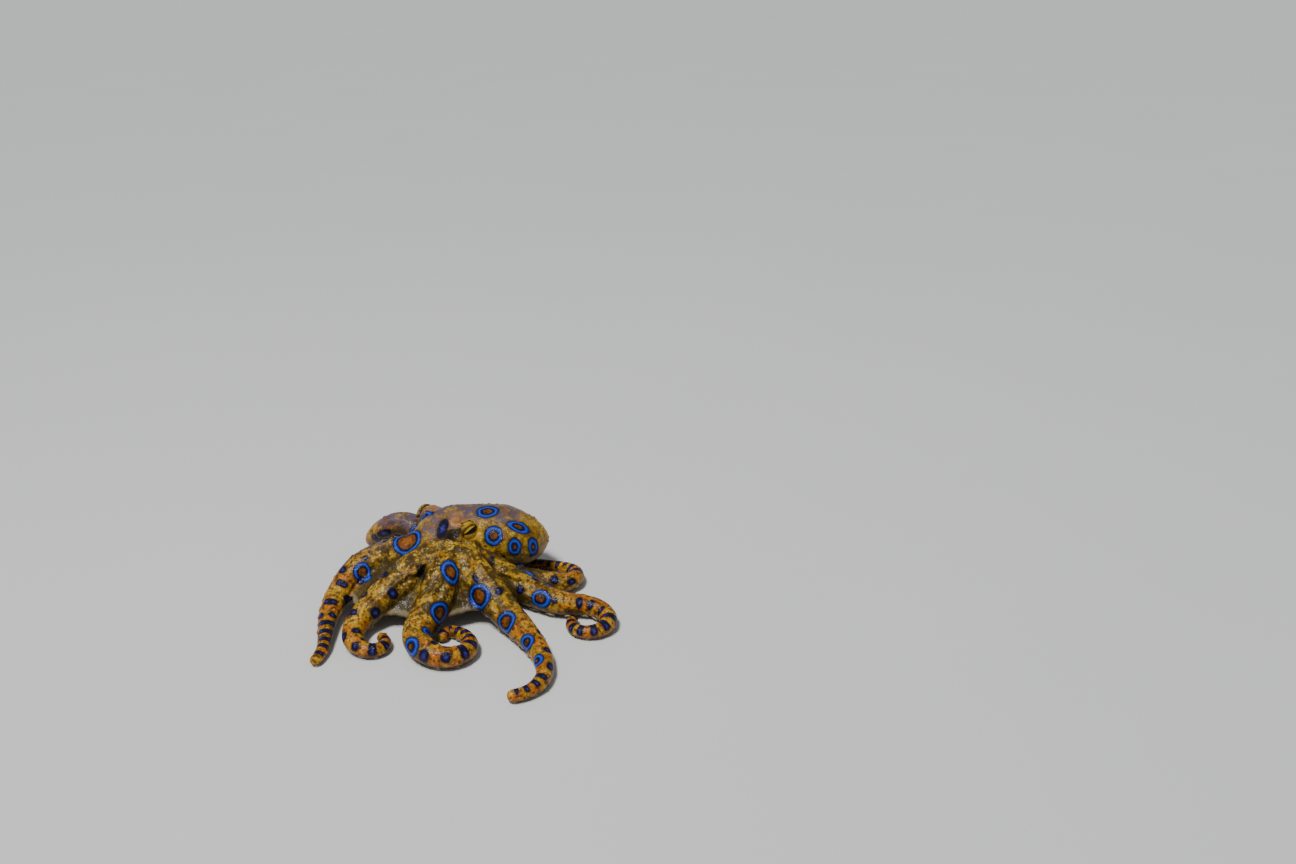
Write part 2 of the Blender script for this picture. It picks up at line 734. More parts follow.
# Markings of head, mantle and crown
BODY_MARKS = (
    BodyMark((-9.7, 6.1, 12.1), (2.85, 2.75)),
    BodyMark((-1.7, -4.3, 10.2), (1.6, 2.35), -14.0),
    BodyMark((7.1, 5.4, 12.1), (1.6, 1.8)),
    BodyMark((11.0, 4.1, 9.9), (1.15, 1.5)),
    BodyMark((14.7, 5.2, 9.0), (1.0, 1.6)),
    BodyMark((12.0, 6.9, 12.7), (2.1, 1.2), -48.0),
    BodyMark((6.3, 10.1, 15.1), (2.0, 1.6)),
    BodyMark((-6.1, 11.8, 14.0), (0.85, 1.9), -28.0),
    BodyMark((-2.7, 6.1, 14.3), (1.0, 2.7), -26.0, MarkKind.SPOT),
    BodyMark((-1.9, 4.1, 13.8), (1.0, 1.7), 30.0, MarkKind.SHADE),
    BodyMark((-0.7, 4.9, 13.8), (1.7, 1.15), -10.0, MarkKind.SHADE),
    BodyMark((0.2, 5.6, 13.4), (0.8, 0.5), 10.0, MarkKind.SHADE),
    BodyMark((-7.3, -2.2, 9.7), (0.9, 1.9), 0.0, MarkKind.SHADE),
    BodyMark((6.2, -0.7, 9.6), (1.3, 0.8), 0.0, MarkKind.SHADE),
    BodyMark((6.5, 0.8, 9.9), (0.45, 0.45), 0.0, MarkKind.SPOT),
    BodyMark((8.7, 3.9, 8.0), (0.4, 0.4), 0.0, MarkKind.SPOT),
    BodyMark((14.2, 4.8, 7.2), (0.4, 0.4), 0.0, MarkKind.SPOT),
    BodyMark((7.1, 17.1, 12.1), (1.6, 1.8)),
    BodyMark((11.0, 18.4, 9.8), (1.15, 1.45)),
    BodyMark((14.7, 18.0, 8.6), (1.0, 1.5)),
    BodyMark((11.6, 15.8, 12.8), (2.0, 1.25), 38.0),
    BodyMark((17.2, 12.8, 9.0), (1.0, 1.2)),
    BodyMark((3.2, 17.0, 10.4), (1.2, 1.4)),
)
# Rings on the sides that face away from the front: distance from the mouth and turn
FAR_RINGS = {
    "arm_left_2": ((20.5, 80),),
    "arm_left_3": ((13.6, 58), (19.5, 60)),
    "arm_left_4": ((12.0, 58), (17.5, 60)),
    "arm_right_4": ((11.5, -58), (11.5, 55), (17.5, -52), (18.0, 55)),
    "arm_right_3": ((12.5, -60), (13.0, 60), (18.5, -58), (24.5, -55)),
    "arm_right_2": ((20.0, -66),),
}
# Half sizes of those rings along and across, as shares of the arm's radius
FAR_RING_HALF = (0.58, 0.6)


class Palette:
    """Colours of the animal as linear red, green, blue."""

    OCHRE = (0.46, 0.225, 0.008)
    GOLD = (0.68, 0.200, 0.008)
    YELLOW = (0.76, 0.45, 0.024)
    CREAM = (0.84, 0.66, 0.22)
    PEACH = (0.62, 0.27, 0.09)
    BROWN = (0.048, 0.021, 0.004)
    OLIVE = (0.046, 0.030, 0.006)
    DUSK = (0.120, 0.086, 0.130)
    SOOT = (0.010, 0.006, 0.003)
    WEB = (0.058, 0.045, 0.016)
    HEM = (0.27, 0.22, 0.12)
    NAVY = (0.004, 0.003, 0.022)
    BLUE = (0.007, 0.030, 0.36)
    SKY = (0.030, 0.115, 0.54)
    VIOLET = (0.040, 0.019, 0.25)
    RUST = (0.23, 0.062, 0.004)
    IRIS = (0.62, 0.38, 0.03)
    PUPIL = (0.001, 0.001, 0.001)
    CUP = (0.50, 0.40, 0.26)
    FLOOR = (0.78, 0.78, 0.77)
    FLOOR_WORN = (0.81, 0.81, 0.80)


def add_node(tree: bpy.types.NodeTree, kind: str, inputs: dict[str | int, object] | None = None,
             **settings: object) -> bpy.types.Node:
    """Adds a node to a tree.

    Args:
        tree: The tree.
        kind: Type name of the node.
        inputs: For an input's name or number, the socket it is linked to or the value it is set to.
        settings: Properties of the node, set before its inputs.

    Returns:
        The node.
    """
    node = tree.nodes.new(kind)
    for name, value in settings.items():
        setattr(node, name, value)
    for key, value in (inputs or {}).items():
        socket = node.inputs[key]
        if isinstance(value, Socket):
            tree.links.new(value, socket)
        elif isinstance(value, tuple) and socket.type == "RGBA":
            socket.default_value = (*value, 1.0)
        else:
            socket.default_value = value
    return node


@dataclass(frozen=True)
class Patches:
    """Patches of noise: size in mm, detail, and the noise at which they start and are full."""

    size: float
    detail: float
    start: float
    full: float


@dataclass(frozen=True)
class Layer:
    """A colour laid on as a value goes from a start to full, and how strong it is there."""

    start: float
    full: float
    colour: Triple
    amount: float = 1.0


class Nodes:
    """Builds a material's node tree a step at a time. A value may be a socket or a number."""

    def __init__(self, name: str) -> None:
        """Makes an empty node material."""
        self.material = bpy.data.materials.new(name)
        self.material.use_nodes = True
        self.tree = self.material.node_tree
        self.tree.nodes.clear()

    def dress(self, inputs: dict[str | int, object]) -> bpy.types.Material:
        """Ends the tree in a Principled shader with these inputs, and returns the material.

        Args:
            inputs: What each input of the shader is linked to or set to.

        Returns:
            The finished material.
        """
        shader = add_node(self.tree, "ShaderNodeBsdfPrincipled", inputs)
        add_node(self.tree, "ShaderNodeOutputMaterial", {"Surface": shader.outputs[0]})
        return self.material

    def math(self, operation: str, first: object, second: object = 0.0) -> Socket:
        """Result of a Math node."""
        return add_node(self.tree, "ShaderNodeMath", {0: first, 1: second}, operation=operation).outputs[0]

    def times(self, first: object, second: object) -> Socket:
        """Product of two values."""
        return self.math("MULTIPLY", first, second)

    def plus(self, first: object, second: object) -> Socket:
        """Sum of two values."""
        return self.math("ADD", first, second)

    def less(self, first: object, second: object) -> Socket:
        """First value less the second."""
        return self.math("SUBTRACT", first, second)

    def line(self, value: object, gain: float, base: float) -> Socket:
        """A value times a gain, plus a base."""
        return self.plus(self.times(value, gain), base)

    def step(self, value: object, start: float, full: float) -> Socket:
        """Smooth rise from 0 at start to 1 at full, which may be below start.

        Args:
            value: What is measured.
            start: Where the rise starts.
            full: Where it ends.

        Returns:
            The rise.
        """
        falls = full < start
        low, high = (full, start) if falls else (start, full)
        inputs = {"Value": value, "From Min": low, "From Max": high,
                  "To Min": 1.0 if falls else 0.0, "To Max": 0.0 if falls else 1.0}
        return add_node(self.tree, "ShaderNodeMapRange", inputs, interpolation_type="SMOOTHSTEP").outputs[0]

    def mix(self, share: object, first: object, second: object) -> Socket:
        """Colour between two colours or sockets."""
        inputs = {"Factor": share, 6: first, 7: second}
        return add_node(self.tree, "ShaderNodeMix", inputs, data_type="RGBA").outputs[2]

    def lay(self, colour: object, layer: Layer, value: object) -> Socket:
        """A colour with a layer over it, laid on by a value."""
        share = self.times(self.step(value, layer.start, layer.full), layer.amount)
        return self.mix(share, colour, layer.colour)

    def attribute(self, name: str) -> tuple[Socket, ...]:
        """The three numbers of a stored vector."""
        node = add_node(self.tree, "ShaderNodeAttribute", attribute_name=name)
        return tuple(add_node(self.tree, "ShaderNodeSeparateXYZ", {0: node.outputs["Vector"]}).outputs)

    def place(self) -> Socket:
        """Object coordinates."""
        return add_node(self.tree, "ShaderNodeTexCoord").outputs["Object"]

    def noise(self, size: float, detail: float = 2.0) -> Socket:
        """Noise over the object with features of a size in mm."""
        inputs = {"Vector": self.place(), "Scale": 1.0 / (size * MM), "Detail": detail}
        return add_node(self.tree, "ShaderNodeTexNoise", inputs).outputs["Fac"]

    def patches(self, patches: Patches) -> Socket:
        """From 0 between patches of noise to 1 on them."""
        return self.step(self.noise(patches.size, patches.detail), patches.start, patches.full)

    def cells(self, size: float) -> tuple[Socket, Socket]:
        """Scattered cells a size in mm apart: distance to the nearest, and its own random number.

        Args:
            size: Distance between cells in mm.

        Returns:
            The distance, and the number.
        """
        inputs = {"Vector": self.place(), "Scale": 1.0 / (size * MM)}
        node = add_node(self.tree, "ShaderNodeTexVoronoi", inputs)
        parts = add_node(self.tree, "ShaderNodeSeparateColor", {0: node.outputs["Color"]})
        return node.outputs["Distance"], parts.outputs[0]

    def bump(self, height: object, depth: float) -> Socket:
        """Normal shaped by a height, with depth in mm at full height."""
        inputs = {"Height": height, "Distance": depth * MM, "Strength": 1.0}
        return add_node(self.tree, "ShaderNodeBump", inputs).outputs["Normal"]


@dataclass(frozen=True)
class RingLine:
    """A line round a ring: its outer edge and its inset from the band's inner edge, in mm."""

    colour: Triple
    outer: float
    inset: float
    blur: float


@dataclass(frozen=True)
class WetSkin:
    """Grained ochre skin with blue rings, spots and bars, wet on top.

    Lengths are mm. A pair is an amount that follows a tone, as its gain and its base. For an edge
    and for the grains it is the values where they start and are full, for the heart of a ring
    those are how far inside the band they lie, and for creases and pores it is size and detail.
    """

    roughness: float = 0.36
    roughness_drift: float = 0.2
    roughness_size: float = 0.9
    patch_edge: Pair = (1.3, 0.8)
    patch_dulling: float = 0.3
    coat: float = 0.09
    coat_roughness: float = 0.10
    specular: float = 0.2
    subsurface: float = 0.06
    bleed: Triple = (0.9, 0.4, 0.2)
    depth: float = 0.09
    grain_depth: float = 0.45
    creases: Pair = (1.5, 4.0)
    pores: Pair = (0.28, 2.0)
    pore_depth: float = 0.3
    grain: float = 0.52
    grain_edge: Pair = (0.66, 0.20)
    lid_gold: float = 0.45
    brow_peach: float = 0.75

    sunny: Patches = Patches(2.6, 3.0, 0.40, 0.58)
    sunshine: Pair = (0.2, 0.75)
    dark: Patches = Patches(2.0, 4.0, 0.57, 0.42)
    darkness: Pair = (0.64, 0.24)
    mottle: Patches = Patches(0.8, 3.0, 0.50, 0.38)
    mottling: Pair = (-0.34, 0.82)
    seam: float = 0.40
    rich: Patches = Patches(3.2, 3.0, 0.48, 0.62)
    richness: Pair = (-0.55, 1.0)
    light_grains: Pair = (0.50, 0.62)
    lightness: Pair = (0.35, 0.25)
    dark_grains: Pair = (0.22, 0.12)
    dark_grain: float = 0.75

    cloud: Patches = Patches(1.8, 3.0, 0.38, 0.60)
    crest_veil: Pair = (0.6, 0.35)
    web_veil: Pair = (0.25, 0.68)
    hollow_olive: float = 0.85
    hem_light: float = 0.75

    wobble_size: float = 0.9
    wobble: float = 0.42
    patch_wobble: float = 1.2
    patch: Layer = Layer(1.25, 0.6, Palette.SOOT, 0.96)
    ring_shade: Layer = Layer(0.95, 0.15, Palette.BROWN, 0.66)
    spot_shade: Layer = Layer(1.6, 1.0, Palette.BROWN, 0.5)
    ring_rim: Layer = Layer(0.36, 0.22, Palette.NAVY)
    band: float = 0.54
    heart: Patches = Patches(0.6, 2.0, 0.36, 0.60)
    heart_edge: Pair = (0.30, 0.60)
    heart_glow: Pair = (0.9, 1.7)
    heart_gold: float = 0.3
    lines: tuple[RingLine, ...] = (
        RingLine(Palette.BLUE, 0.08, 0.0, 0.08), RingLine(Palette.SKY, -0.19, 0.20, 0.07),
    )
    spot: Layer = Layer(1.1, 0.88, Palette.NAVY)
    spot_heart: Layer = Layer(1.1, 0.4, Palette.VIOLET, 0.7)
    core: Patches = Patches(0.7, 1.0, 0.46, 0.60)
    core_edge: Pair = (0.75, 0.2)
    core_light: float = 0.45

    def build(self) -> bpy.types.Material:
        """Makes the material.

        Returns:
            The material, which reads the mark, cast, tone and rim vectors of its mesh.
        """
        n = Nodes("octopus_skin")
        ring, solid, glow = n.attribute("mark")
        shade, head, crest = n.attribute("cast")
        outer, pale, hollow = n.attribute("tone")
        hem, lid, brow = n.attribute("rim")
        apart, pick = n.cells(self.grain)
        grain = n.step(apart, *self.grain_edge)
        colour = self.ground(n, grain, pick, outer, head)
        colour = n.mix(n.times(lid, self.lid_gold), colour, Palette.YELLOW)
        colour = n.mix(n.times(brow, self.brow_peach), colour, Palette.PEACH)
        colour = self.cover(n, colour, crest, pale, hollow, hem)
        colour = self.marks(n, colour, ring, solid, glow, shade)
        coarse = n.plus(n.noise(*self.creases), n.times(n.noise(*self.pores), self.pore_depth))
        normal = n.bump(n.plus(n.times(grain, self.grain_depth), coarse), self.depth)
        rough = n.line(n.noise(self.roughness_size), self.roughness_drift, self.roughness)
        rough = n.plus(rough, n.times(n.step(shade, *self.patch_edge), self.patch_dulling))
        return n.dress({
            "Base Color": colour, "Normal": normal, "Coat Normal": normal, "Roughness": rough,
            "Specular IOR Level": self.specular, "Coat Weight": self.coat,
            "Coat Roughness": self.coat_roughness, "Subsurface Weight": self.subsurface,
            "Subsurface Radius": tuple(size * MM for size in self.bleed), "Subsurface Scale": 1.0,
        })

    def ground(self, n: Nodes, grain: object, pick: object, outer: object,
               head: object) -> Socket:
        """Colour of open skin, without markings.

        Args:
            n: The tree being built.
            grain: From 0 between the grains of the skin to 1 on them.
            pick: Random number of each grain.
            outer: From 0 at the crown to 1 out on the arms.
            head: From 0 on the arms to 1 on head and mantle.

        Returns:
            The colour.
        """
        inner = n.less(1.0, outer)
        bare = n.less(1.0, head)
        colour = n.mix(outer, Palette.OCHRE, Palette.GOLD)
        amount = n.line(head, *self.sunshine)
        colour = n.mix(n.times(n.patches(self.sunny), amount), colour, Palette.YELLOW)
        amount = n.line(n.times(inner, bare), *self.darkness)
        colour = n.mix(n.times(n.patches(self.dark), amount), colour, Palette.OLIVE)
        amount = n.line(head, *self.mottling)
        colour = n.mix(n.times(n.patches(self.mottle), amount), colour, Palette.BROWN)
        colour = n.mix(n.times(n.less(1.0, grain), self.seam), colour, Palette.BROWN)
        rich = n.times(n.patches(self.rich), n.line(head, *self.richness))
        light = n.times(n.times(grain, n.step(pick, *self.light_grains)), rich)
        amount = n.line(inner, *self.lightness)
        colour = n.mix(n.times(light, amount), colour, Palette.CREAM)
        speck = n.times(grain, n.step(pick, *self.dark_grains))
        return n.mix(n.times(speck, self.dark_grain), colour, Palette.BROWN)

    def cover(self, n: Nodes, colour: object, crest: object, pale: object, hollow: object,
              hem: object) -> Socket:
        """Dusky crest, web and underside, dark folds and pale hems laid over the ground.

        Args:
            n: The tree being built.
            colour: Colour of open skin.
            crest: From 0 on the sides to 1 along the top of head and mantle.
            pale: From 0 on the back to 1 on webs and undersides.
            hollow: From 0 on open skin to 1 in folds.
            hem: From 0 on the body to 1 at the edge of a web.

        Returns:
            The colour.
        """
        cloud = n.patches(self.cloud)
        colour = n.mix(n.times(crest, n.line(cloud, *self.crest_veil)), colour, Palette.DUSK)
        colour = n.mix(n.times(pale, n.line(cloud, *self.web_veil)), colour, Palette.WEB)
        colour = n.mix(n.times(hollow, self.hollow_olive), colour, Palette.OLIVE)
        return n.mix(n.times(hem, self.hem_light), colour, Palette.HEM)

    def marks(self, n: Nodes, colour: object, ring: object, solid: object, glow: object,
              shade: object) -> Socket:
        """Rings, spots and bars laid over a colour.

        Args:
            n: The tree being built.
            colour: Colour of the skin.
            ring: Distance outside the blue line of the nearest ring in mm, negative within it.
            solid: Place in the nearest spot or bar, from 0 at its middle to 1 at its edge.
            glow: The same in the lighter heart of a spot or bar.
            shade: The same in the nearest dark patch.

        Returns:
            The colour with the markings.
        """
        wobble = n.times(n.less(n.noise(self.wobble_size), 0.5), self.wobble)
        ring, solid, glow = (n.plus(value, wobble) for value in (ring, solid, glow))
        colour = n.lay(colour, self.patch, n.plus(shade, n.times(wobble, self.patch_wobble)))
        colour = n.lay(colour, self.ring_shade, ring)
        colour = n.lay(colour, self.spot_shade, solid)
        colour = n.lay(colour, self.ring_rim, ring)
        heart = n.mix(n.patches(self.heart), Palette.BROWN, Palette.RUST)
        glowing = n.step(ring, *(-self.band - inside for inside in self.heart_glow))
        heart = n.mix(n.times(glowing, self.heart_gold), heart, Palette.GOLD)
        colour = n.mix(n.step(ring, *(-self.band - inside for inside in self.heart_edge)), colour, heart)
        for line in self.lines:
            inner = self.band - line.inset
            outside = n.step(ring, line.outer + line.blur, line.outer - line.blur)
            inside = n.step(ring, -inner - line.blur, -inner + line.blur)
            colour = n.mix(n.times(outside, inside), colour, line.colour)
        colour = n.lay(colour, self.spot, solid)
        colour = n.lay(colour, self.spot_heart, glow)
        core = n.times(n.step(glow, *self.core_edge), n.patches(self.core))
        return n.mix(n.times(core, self.core_light), colour, Palette.SKY)


@dataclass(frozen=True)
class WetEye:
    """Golden eyeball with a black slit across it, its ends turned up."""

    roughness: float = 0.2
    specular: float = 0.25
    coat: float = 0.4
    coat_roughness: float = 0.05
    fleck: Patches = Patches(0.30, 3.0, 0.40, 0.62)
    flecking: float = 0.45
    vein: Patches = Patches(0.16, 2.0, 0.42, 0.34)
    veining: float = 0.5
    rim: Layer = Layer(0.62, 0.40, Palette.BROWN, 0.8)
    slit_half: float = 0.98
    slit_depth: float = 0.22
    slit_swell: float = 0.17
    slit_drop: float = 0.04
    slit_bow: float = 0.10
    slit_blur: float = 0.03

    def build(self) -> bpy.types.Material:
        """Makes the material, which reads the gaze vector of its mesh.

        Returns:
            The material.
        """
        n = Nodes("octopus_eye")
        across, up, out = n.attribute("gaze")
        colour = n.mix(n.times(n.patches(self.fleck), self.flecking), Palette.IRIS, Palette.OCHRE)
        colour = n.mix(n.times(n.patches(self.vein), self.veining), colour, Palette.BROWN)
        colour = n.lay(colour, self.rim, out)
        square = n.times(across, across)
        bend = n.less(n.plus(up, self.slit_drop), n.times(square, self.slit_bow))
        taper = n.less(1.0, n.math("DIVIDE", square, self.slit_half ** 2))
        half = n.times(taper, n.line(across, self.slit_swell, self.slit_depth))
        slit = n.step(n.less(half, n.math("ABSOLUTE", bend)), -self.slit_blur, self.slit_blur)
        return n.dress({
            "Base Color": n.mix(slit, colour, Palette.PUPIL), "Roughness": self.roughness,
            "Specular IOR Level": self.specular, "Coat Weight": self.coat,
            "Coat Roughness": self.coat_roughness,
        })


@dataclass(frozen=True)
class CupSkin:
    """Pale, slightly translucent skin of the suckers, with lengths in mm."""

    roughness: float = 0.35
    coat: float = 0.4
    coat_roughness: float = 0.2
    subsurface: float = 0.15
    bleed: Triple = (1.0, 0.6, 0.4)
    mottle: Patches = Patches(0.9, 2.0, 0.35, 0.7)
    grain: float = 0.3
    depth: float = 0.02

    def build(self) -> bpy.types.Material:
        """Makes the material.

        Returns:
            The material.
        """
        n = Nodes("sucker_skin")
        return n.dress({
            "Base Color": n.mix(n.patches(self.mottle), Palette.CUP, Palette.WEB),
            "Normal": n.bump(n.noise(self.grain), self.depth), "Roughness": self.roughness,
            "Coat Weight": self.coat, "Coat Roughness": self.coat_roughness,
            "Subsurface Weight": self.subsurface, "Subsurface Scale": 1.0,
            "Subsurface Radius": tuple(size * MM for size in self.bleed),
        })


class Markings:
    """Distance of every point of the skin from each kind of marking.

    It is in mm outside a ring's blue line, and for the others a share that is 1 at the edge.
    """

    FAR = 4.0
    # Size of the lighter heart of a spot, as a share of the spot
    HEART = 0.5
    # The two blobs of a pair, and the two hearts of a bar: their middle and half size
    PAIR_BLOB = (0.62, 0.44)
    BAR_HEART = (0.5, 0.36)
    # How far a marking is looked for: a share of its half size, and mm more
    REACH = (2.2, 0.8)
    RUN, SPARE_ROWS = 2.4, 4
    # How far off the arm's surface a ring and any other marking keep full, and then fade, in mm
    LOOSE_RING, LOOSE_OTHER, FADE = 1.3, 0.6, 0.5
    # How far out the measure round an arm still grows, as a share of its radius
    ROUND = 1.3
    # Points near a body marking whose normals are averaged, and how far others may face away
    FACE, AWAY = 0.8, -0.1
    # Depth of a body marking as a share of its longer half size
    DEEP = 1.6

    def __init__(self, points: np.ndarray, normals: np.ndarray) -> None:
        """Starts with a bare skin of points, in drawing mm, and their unit normals."""
        self.points = points
        self.normals = normals
        self.ring, self.solid, self.glow, self.shade = (np.full(len(points), self.FAR) for _ in range(4))

    def add_all(self, seed: int) -> None:
        """Adds the markings that are placed one by one, and those that follow a rule.

        Args:
            seed: Seed of the rule.
        """
        for mark in BODY_MARKS:
            self.add_body(mark)
        for mark in (*ARM_MARKS, *far_rings(), *BarRule(seed).build()):
            self.add_arm(mark)

    def reach(self, mark: ArmMark | BodyMark) -> float:
        """How far from its middle a marking can show, in mm."""
        return self.REACH[0] * max(mark.half) + self.REACH[1]

    def lay(self, rows: np.ndarray, first: np.ndarray, second: np.ndarray, deep: np.ndarray,
            mark: ArmMark | BodyMark) -> None:
        """Lays one marking on some of the points.

        Args:
            rows: Numbers of the points.
            first: Their place along the marking's first half size.
            second: Their place along its second.
            deep: How far they lie off its surface, in the same shares.
            mark: The marking.
        """
        away = np.sqrt(first ** 2 + second ** 2 + deep ** 2)
        if mark.kind is MarkKind.RING:
            outside = (away - 1.0) * math.sqrt(mark.half[0] * mark.half[1])
            self.ring[rows] = np.minimum(self.ring[rows], outside)
        elif mark.kind is MarkKind.SHADE:
            self.shade[rows] = np.minimum(self.shade[rows], away)
        elif mark.kind is MarkKind.PAIR:
            place, half = self.PAIR_BLOB
            blob = np.sqrt(first ** 2 + ((np.abs(second) - place) / half) ** 2 + deep ** 2)
            self.lay_solid(rows, blob, blob / self.HEART)
        elif mark.kind is MarkKind.SPOT:
            self.lay_solid(rows, away, away / self.HEART)
        else:
            square = (first ** 4 + second ** 4 + deep ** 4) ** 0.25
            place, half = self.BAR_HEART
            heart = (first / self.HEART) ** 2 + ((np.abs(second) - place) / half) ** 2
            self.lay_solid(rows, square, np.sqrt(heart + deep ** 2))

    def lay_solid(self, rows: np.ndarray, solid: np.ndarray, glow: np.ndarray) -> None:
        """Lays the filled form of a marking and its lighter heart on some of the points."""
        self.solid[rows] = np.minimum(self.solid[rows], solid)
        self.glow[rows] = np.minimum(self.glow[rows], glow)

    def add_arm(self, mark: ArmMark) -> None:
        """Adds a marking on an arm.

        Args:
            mark: The marking.
        """
        arm = next(arm for arm in ARMS if arm.name == mark.arm)
        row = int(arm.index_at(mark.along))
        angle = math.radians(mark.turn)
        radius = float(arm.radius[row])
        spot = arm.centre[row] + radius * (arm.back[row] * math.cos(angle) + arm.side[row] * math.sin(angle))
        near = np.flatnonzero(np.linalg.norm(self.points - spot, axis=1) < self.reach(mark))
        span = int(self.RUN * mark.half[0] / arm.step) + self.SPARE_ROWS
        rows = np.arange(max(row - span, 0), min(row + span, len(arm.along)))
        offset = self.points[near, None, :] - arm.centre[None, rows, :]
        nearest = rows[dot(offset, offset).argmin(axis=1)]
        run, left, over = arm.about(self.points[near], nearest)
        around = (np.arctan2(left, over) - angle + math.pi) % (2 * math.pi) - math.pi
        out = np.hypot(left, over)
        loose = self.LOOSE_RING if mark.kind is MarkKind.RING else self.LOOSE_OTHER
        deep = np.maximum(out - arm.radius[nearest] - loose, 0.0) / self.FADE
        first = (arm.along[nearest] + run - mark.along) / mark.half[0]
        second = around * np.minimum(out, radius * self.ROUND) / mark.half[1]
        self.lay(near, first, second, deep, mark)

    def add_body(self, mark: BodyMark) -> None:
        """Adds a marking on head, mantle or crown.

        Args:
            mark: The marking.
        """
        offset = self.points - np.array(mark.place)
        apart = np.linalg.norm(offset, axis=1)
        face = unit(self.normals[apart < apart.min() + self.FACE].mean(axis=0))
        near = np.flatnonzero(apart < self.reach(mark))
        near = near[self.normals[near] @ face > self.AWAY]
        level = unit(np.cross(UP, face) + SMALL)
        rise = np.cross(face, level)
        lean = math.radians(mark.lean)
        first = offset[near] @ (level * math.cos(lean) + rise * math.sin(lean)) / mark.half[0]
        second = offset[near] @ (rise * math.cos(lean) - level * math.sin(lean)) / mark.half[1]
        deep = offset[near] @ face / (self.DEEP * max(mark.half))
        self.lay(near, first, second, deep, mark)


def far_rings() -> list[ArmMark]:
    """Rings on the far sides of the arms, sized by the arm's radius there.

    Returns:
        The rings.
    """
    made = []
    for arm in ARMS:
        for along, turn in FAR_RINGS.get(arm.name, ()):
            radius = float(arm.radius_at(along))
            half = (radius * FAR_RING_HALF[0], radius * FAR_RING_HALF[1])
            made.append(ArmMark(arm.name, along, turn, half))
    return made


@dataclass
class BarRule:
    """Bars across the outer part of every arm, closer together towards its tip.

    A pair is the least and the most of a random share of the arm's radius, and lengths are mm.
    """

    seed: int
    start: float = 23.0
    stop: float = 0.8
    half_along: float = 0.34
    half_more: float = 0.08
    half_across: Pair = (1.15, 1.6)
    turn: float = 18.0
    clear: float = 0.25
    thick: float = 1.7
    thick_parted: float = 0.6
    thin_parted: float = 0.25
    spacing: Pair = (0.95, 1.25)
    gap: float = 0.6

    def build(self) -> list[ArmMark]:
        """Sets out the bars, apart from those that would lie on a marking of ARM_MARKS.

        Returns:
            The bars, some of them parted into pairs of blobs.
        """
        rng = np.random.default_rng(self.seed)
        made = []
        for arm in ARMS:
            taken = [mark for mark in ARM_MARKS if mark.arm == arm.name]
            along = self.start + rng.uniform(0.0, 1.0)
            while along < arm.length - self.stop:
                radius = float(arm.radius_at(along))
                half = (radius * self.half_along + self.half_more, radius * rng.uniform(*self.half_across))
                turn = rng.uniform(-self.turn, self.turn)
                if all(abs(mark.along - along) > mark.half[0] + half[0] + self.clear for mark in taken):
                    parted = rng.random() < (self.thick_parted if radius > self.thick else self.thin_parted)
                    kind = MarkKind.PAIR if parted else MarkKind.BAR
                    made.append(ArmMark(arm.name, along, turn, half, kind))
                along += radius * rng.uniform(*self.spacing) + self.gap
        return made


